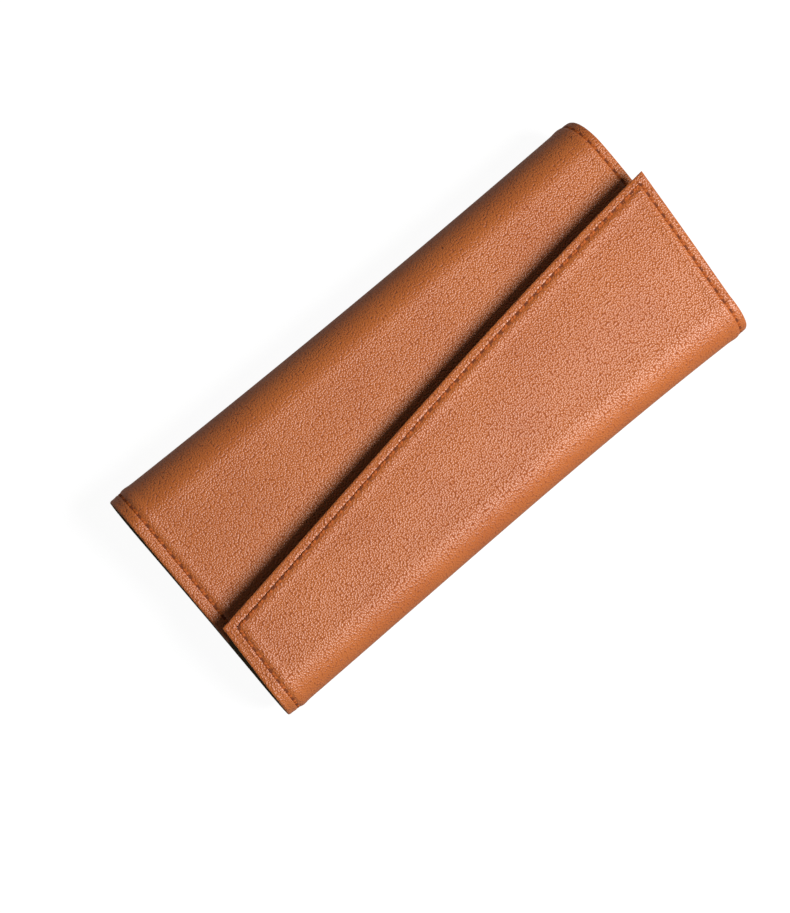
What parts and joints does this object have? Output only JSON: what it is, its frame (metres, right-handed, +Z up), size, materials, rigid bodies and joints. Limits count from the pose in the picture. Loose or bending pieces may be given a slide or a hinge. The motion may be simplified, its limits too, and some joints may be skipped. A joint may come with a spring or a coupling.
{
  "type": "pedicure set",
  "caption": "Tan leather folding case with a slanted flap that holds pedicure knives in sewn loops",
  "frame": {"origin": "middle of the back panel's outer face, on the surface that the closed case lies on", "axes": "+X along the folds towards the knives' butts, +Y towards the cover's fold, +Z up"},
  "size_m": [0.1874, 0.088, 0.0309],
  "materials": {
    "tan_leather": "satin grained",
    "khaki_lining": "matte microfibre",
    "stiffener_board": "matte",
    "magnet_steel": "plated",
    "brown_band": "satin grained",
    "handle_wood": "oiled",
    "ferrule_brass": "polished",
    "blade_steel": "ground"
  },
  "bodies": {
    "base": {"back_leather": "tan_leather", "back_board": "stiffener_board", "back_lining": "khaki_lining", "loop_band": "brown_band", "tip_pocket": "brown_band"},
    "cover_strip_1": {"cover_fold_leather_1": "tan_leather", "cover_fold_lining_1": "khaki_lining"},
    "cover_strip_2": {"cover_fold_leather_2": "tan_leather", "cover_fold_lining_2": "khaki_lining"},
    "cover_strip_3": {"cover_fold_leather_3": "tan_leather", "cover_fold_lining_3": "khaki_lining"},
    "cover_strip_4": {"cover_fold_leather_4": "tan_leather", "cover_fold_lining_4": "khaki_lining"},
    "cover_strip_5": {"cover_fold_leather_5": "tan_leather", "cover_fold_lining_5": "khaki_lining"},
    "cover": {"cover_leather": "tan_leather", "cover_board": "stiffener_board", "cover_lining": "khaki_lining", "cover_magnet": "magnet_steel"},
    "flap_strip_1": {"flap_fold_leather_1": "tan_leather", "flap_fold_lining_1": "khaki_lining"},
    "flap_strip_2": {"flap_fold_leather_2": "tan_leather", "flap_fold_lining_2": "khaki_lining"},
    "flap_strip_3": {"flap_fold_leather_3": "tan_leather", "flap_fold_lining_3": "khaki_lining"},
    "flap_strip_4": {"flap_fold_leather_4": "tan_leather", "flap_fold_lining_4": "khaki_lining"},
    "flap_strip_5": {"flap_fold_leather_5": "tan_leather", "flap_fold_lining_5": "khaki_lining"},
    "flap": {"flap_leather": "tan_leather", "flap_board": "stiffener_board", "flap_lining": "khaki_lining", "flap_magnet": "magnet_steel"},
    "broad_knife": {"broad_knife_handle": "handle_wood", "broad_knife_ferrule": "ferrule_brass", "broad_knife_blade": "blade_steel"},
    "skew_knife": {"skew_knife_handle": "handle_wood", "skew_knife_ferrule": "ferrule_brass", "skew_knife_blade": "blade_steel"},
    "narrow_knife": {"narrow_knife_handle": "handle_wood", "narrow_knife_ferrule": "ferrule_brass", "narrow_knife_blade": "blade_steel"},
    "scraper": {"scraper_handle": "handle_wood", "scraper_ferrule": "ferrule_brass", "scraper_blade": "blade_steel"},
    "point_knife": {"point_knife_handle": "handle_wood", "point_knife_ferrule": "ferrule_brass", "point_knife_blade": "blade_steel"}
  },
  "joints": [
    {"name": "cover_bend_1", "type": "hinge", "parent": "base", "child": "cover_strip_1", "pos_m": [0, 0.0315, 0], "axis": [-1, 0, 0], "range_deg": [0, 18]},
    {"name": "cover_bend_2", "type": "hinge", "parent": "cover_strip_1", "child": "cover_strip_2", "pos_m": [0, 0.03916, 0.00262], "axis": [-1, 0, 0], "range_deg": [0, 36]},
    {"name": "cover_bend_3", "type": "hinge", "parent": "cover_strip_2", "child": "cover_strip_3", "pos_m": [0, 0.04361, 0.00939], "axis": [-1, 0, 0], "range_deg": [0, 36]},
    {"name": "cover_bend_4", "type": "hinge", "parent": "cover_strip_3", "child": "cover_strip_4", "pos_m": [0, 0.04297, 0.01746], "axis": [-1, 0, 0], "range_deg": [0, 36]},
    {"name": "cover_bend_5", "type": "hinge", "parent": "cover_strip_4", "child": "cover_strip_5", "pos_m": [0, 0.03752, 0.02345], "axis": [-1, 0, 0], "range_deg": [0, 36]},
    {"name": "cover_bend_6", "type": "hinge", "parent": "cover_strip_5", "child": "cover", "pos_m": [0, 0.02954, 0.02485], "axis": [-1, 0, 0], "range_deg": [0, 18]},
    {"name": "flap_bend_1", "type": "hinge", "parent": "base", "child": "flap_strip_1", "pos_m": [0, -0.03224, 0], "axis": [1, 0, 0], "range_deg": [0, 17.1]},
    {"name": "flap_bend_2", "type": "hinge", "parent": "flap_strip_1", "child": "flap_strip_2", "pos_m": [0, -0.03885, 0.00203], "axis": [1, 0, 0], "range_deg": [0, 34.2]},
    {"name": "flap_bend_3", "type": "hinge", "parent": "flap_strip_2", "child": "flap_strip_3", "pos_m": [0, -0.04317, 0.00743], "axis": [1, 0, 0], "range_deg": [0, 34.2]},
    {"name": "flap_bend_4", "type": "hinge", "parent": "flap_strip_3", "child": "flap_strip_4", "pos_m": [0, -0.04372, 0.01433], "axis": [1, 0, 0], "range_deg": [0, 34.2]},
    {"name": "flap_bend_5", "type": "hinge", "parent": "flap_strip_4", "child": "flap_strip_5", "pos_m": [0, -0.04029, 0.02033], "axis": [1, 0, 0], "range_deg": [0, 34.2]},
    {"name": "flap_bend_6", "type": "hinge", "parent": "flap_strip_5", "child": "flap", "pos_m": [0, -0.03408, 0.02337], "axis": [1, 0, 0], "range_deg": [0, 17.1]},
    {"name": "broad_knife_draw", "type": "slide", "parent": "base", "child": "broad_knife", "axis": [1, 0, 0], "range_m": [0, 0.175]},
    {"name": "skew_knife_draw", "type": "slide", "parent": "base", "child": "skew_knife", "axis": [1, 0, 0], "range_m": [0, 0.175]},
    {"name": "narrow_knife_draw", "type": "slide", "parent": "base", "child": "narrow_knife", "axis": [1, 0, 0], "range_m": [0, 0.175]},
    {"name": "scraper_draw", "type": "slide", "parent": "base", "child": "scraper", "axis": [1, 0, 0], "range_m": [0, 0.175]},
    {"name": "point_knife_draw", "type": "slide", "parent": "base", "child": "point_knife", "axis": [1, 0, 0], "range_m": [0, 0.175]}
  ],
  "couplings": [
    {"joint": "cover_bend_2", "follows": "cover_bend_1", "ratio": 2},
    {"joint": "cover_bend_3", "follows": "cover_bend_1", "ratio": 2},
    {"joint": "cover_bend_4", "follows": "cover_bend_1", "ratio": 2},
    {"joint": "cover_bend_5", "follows": "cover_bend_1", "ratio": 2},
    {"joint": "cover_bend_6", "follows": "cover_bend_1", "ratio": 1},
    {"joint": "flap_bend_1", "follows": "cover_bend_1", "ratio": 0.95},
    {"joint": "flap_bend_2", "follows": "cover_bend_1", "ratio": 1.9},
    {"joint": "flap_bend_3", "follows": "cover_bend_1", "ratio": 1.9},
    {"joint": "flap_bend_4", "follows": "cover_bend_1", "ratio": 1.9},
    {"joint": "flap_bend_5", "follows": "cover_bend_1", "ratio": 1.9},
    {"joint": "flap_bend_6", "follows": "cover_bend_1", "ratio": 0.95}
  ]
}
